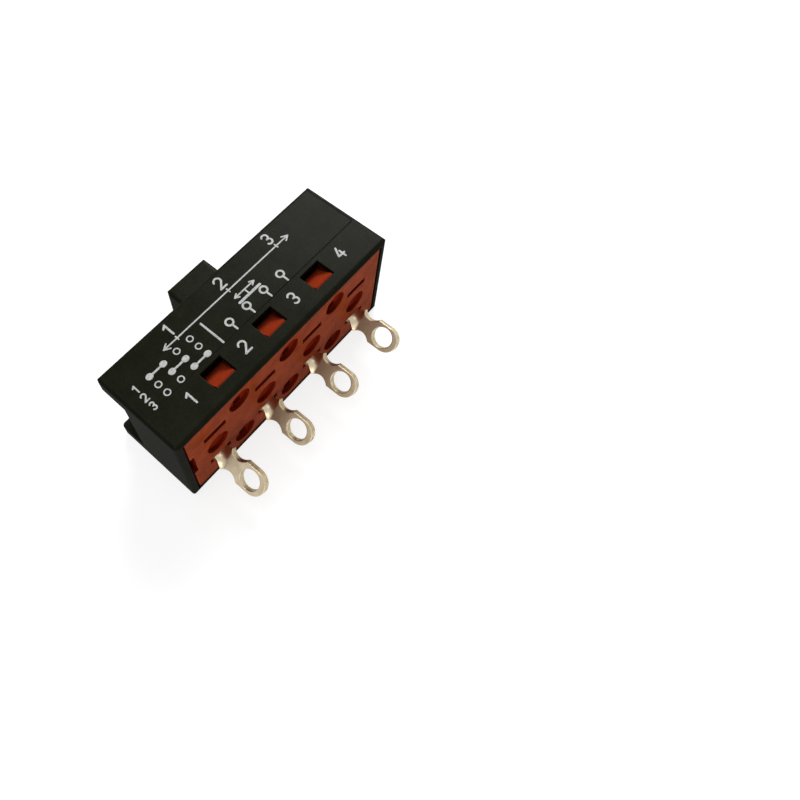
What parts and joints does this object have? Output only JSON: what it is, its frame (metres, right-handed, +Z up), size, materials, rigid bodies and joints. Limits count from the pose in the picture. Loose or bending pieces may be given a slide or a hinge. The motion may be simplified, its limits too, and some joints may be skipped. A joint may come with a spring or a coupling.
{
  "type": "slide switch",
  "caption": "Slide switch for a hair dryer: black housing with a square sliding knob, snapped-in red terminal base and a row of twisted solder eyelets.",
  "frame": {"origin": "centre of the plain long side, on the plane the switch lies on", "axes": "+X along the body, +Y toward the knob with the solder eyelets on -Y, +Z up out of the printed side"},
  "size_m": [0.031, 0.0215, 0.0138],
  "materials": {
    "black_housing": "fine-textured black moulded plastic",
    "black_slider": "fine-textured black moulded plastic",
    "red_base": "terracotta red moulded plastic, slightly satin",
    "plated_terminal": "silver-plated brass strip, stamped and twisted",
    "contact_silver": "smooth silver contact rivet",
    "bridge_copper": "rolled copper strip",
    "spring_steel": "bright spring steel"
  },
  "bodies": {
    "switch_body": {"housing": "black_housing", "terminal_base": "red_base", "terminal_1": "plated_terminal", "terminal_2": "plated_terminal", "terminal_3": "plated_terminal", "terminal_4": "plated_terminal", "fixed_contact_1": "contact_silver", "fixed_contact_2": "contact_silver", "fixed_contact_3": "contact_silver", "fixed_contact_4": "contact_silver"},
    "slide_body": {"slider": "black_slider", "contact_spring": "spring_steel", "detent_spring": "spring_steel"},
    "bridge_body": {"contact_bridge": "bridge_copper", "bridge_contact_1": "contact_silver", "bridge_contact_2": "contact_silver"},
    "ball_body": {"detent_ball": "spring_steel"}
  },
  "joints": [
    {"name": "knob_slide", "type": "slide", "parent": "switch_body", "child": "slide_body", "axis": [1, 0, 0], "range_m": [-0.00725, 0.00725]},
    {"name": "bridge_lift", "type": "slide", "parent": "slide_body", "child": "bridge_body", "axis": [0, 1, 0], "range_m": [0, 0.0003], "stiffness_N_per_m": 1000, "springref_m": -0.0005, "deforming": ["contact_spring"]},
    {"name": "ball_lift", "type": "slide", "parent": "slide_body", "child": "ball_body", "axis": [0, 1, 0], "range_m": [0, 0.0004], "stiffness_N_per_m": 800, "springref_m": -0.0005, "deforming": ["detent_spring"]}
  ]
}
